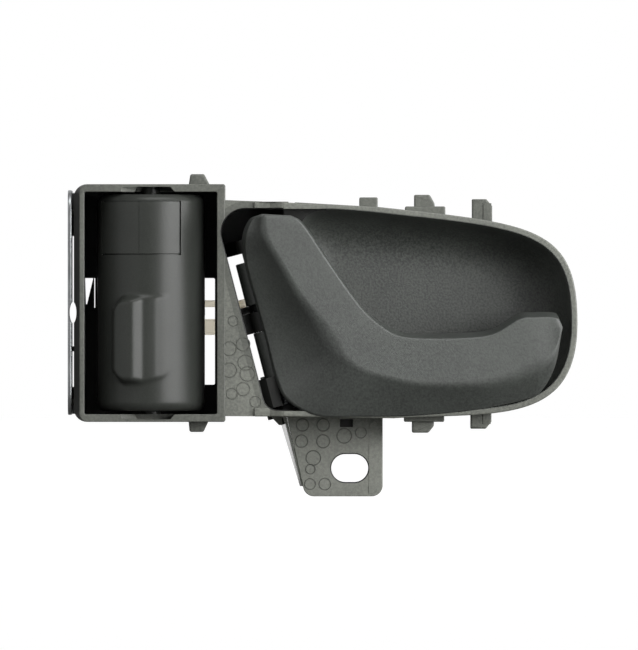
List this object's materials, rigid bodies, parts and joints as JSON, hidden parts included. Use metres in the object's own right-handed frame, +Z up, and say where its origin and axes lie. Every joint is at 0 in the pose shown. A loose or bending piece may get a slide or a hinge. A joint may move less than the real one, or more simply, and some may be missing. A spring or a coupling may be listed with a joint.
{
  "type": "inside door release handle",
  "caption": "Inside car door release handle: pull lever on a leaning hinge in a dished housing, with a turning lock knob beside it and cranks for the latch and lock rods.",
  "frame": {"origin": "middle of the screw slot, on the rear face of the screw tab that seats on the door panel", "axes": "+X right across the front, from the lock knob to the lever's free end; +Y into the door, away from the passenger; +Z up"},
  "size_m": [0.1402, 0.048, 0.0888],
  "materials": {
    "housing_plastic": "fine grained black moulding",
    "lever_plastic": "fine grained black moulding, slightly smoother",
    "knob_plastic": "satin black moulding",
    "indicator_plastic": "satin black inlay, blank",
    "zinc_steel": "zinc plated sheet steel",
    "pin_steel": "drawn steel",
    "spring_steel": "spring steel wire and strip",
    "natural_nylon": "natural nylon",
    "bumper_rubber": "soft black rubber"
  },
  "bodies": {
    "housing": {"housing": "housing_plastic", "mounting_bracket": "zinc_steel", "bracket_rivets": "zinc_steel", "hinge_pin": "pin_steel", "pin_retainer": "pin_steel", "return_spring": "spring_steel", "lever_bumpers": "bumper_rubber", "lock_detent_spring": "spring_steel", "detent_screw": "zinc_steel"},
    "lever": {"lever": "lever_plastic", "hinge_bushes": "natural_nylon", "latch_crank": "zinc_steel", "latch_crank_rivets": "zinc_steel"},
    "latch_clip": {"latch_rod_clip": "natural_nylon"},
    "lock": {"lock_knob": "knob_plastic", "lock_indicator": "indicator_plastic", "lock_crank": "zinc_steel", "lock_crank_screws": "zinc_steel"},
    "lock_clip": {"lock_rod_clip": "natural_nylon"}
  },
  "joints": [
    {"name": "lever_pull", "type": "hinge", "parent": "housing", "child": "lever", "pos_m": [-0.0234, -0.018, 0.0408], "axis": [0.2504, 0, -0.9681], "range_deg": [0, 40], "stiffness_Nm_per_rad": 0.4, "springref_deg": -20.05, "deforming": ["return_spring"]},
    {"name": "lock_turn", "type": "hinge", "parent": "housing", "child": "lock", "pos_m": [-0.0547, -0.013, 0.0456], "axis": [0, 0, 1], "range_deg": [0, 36], "deforming": ["lock_detent_spring"]},
    {"name": "latch_clip_swivel", "type": "hinge", "parent": "lever", "child": "latch_clip", "pos_m": [-0.03053, 0.00917, 0.04133], "axis": [-0.2504, 0, 0.9681], "range_deg": [-25, 25]},
    {"name": "lock_clip_swivel", "type": "hinge", "parent": "lock", "child": "lock_clip", "pos_m": [-0.0441, 0.008, 0.0415], "axis": [0, 0, 1], "range_deg": [-25, 25]}
  ]
}
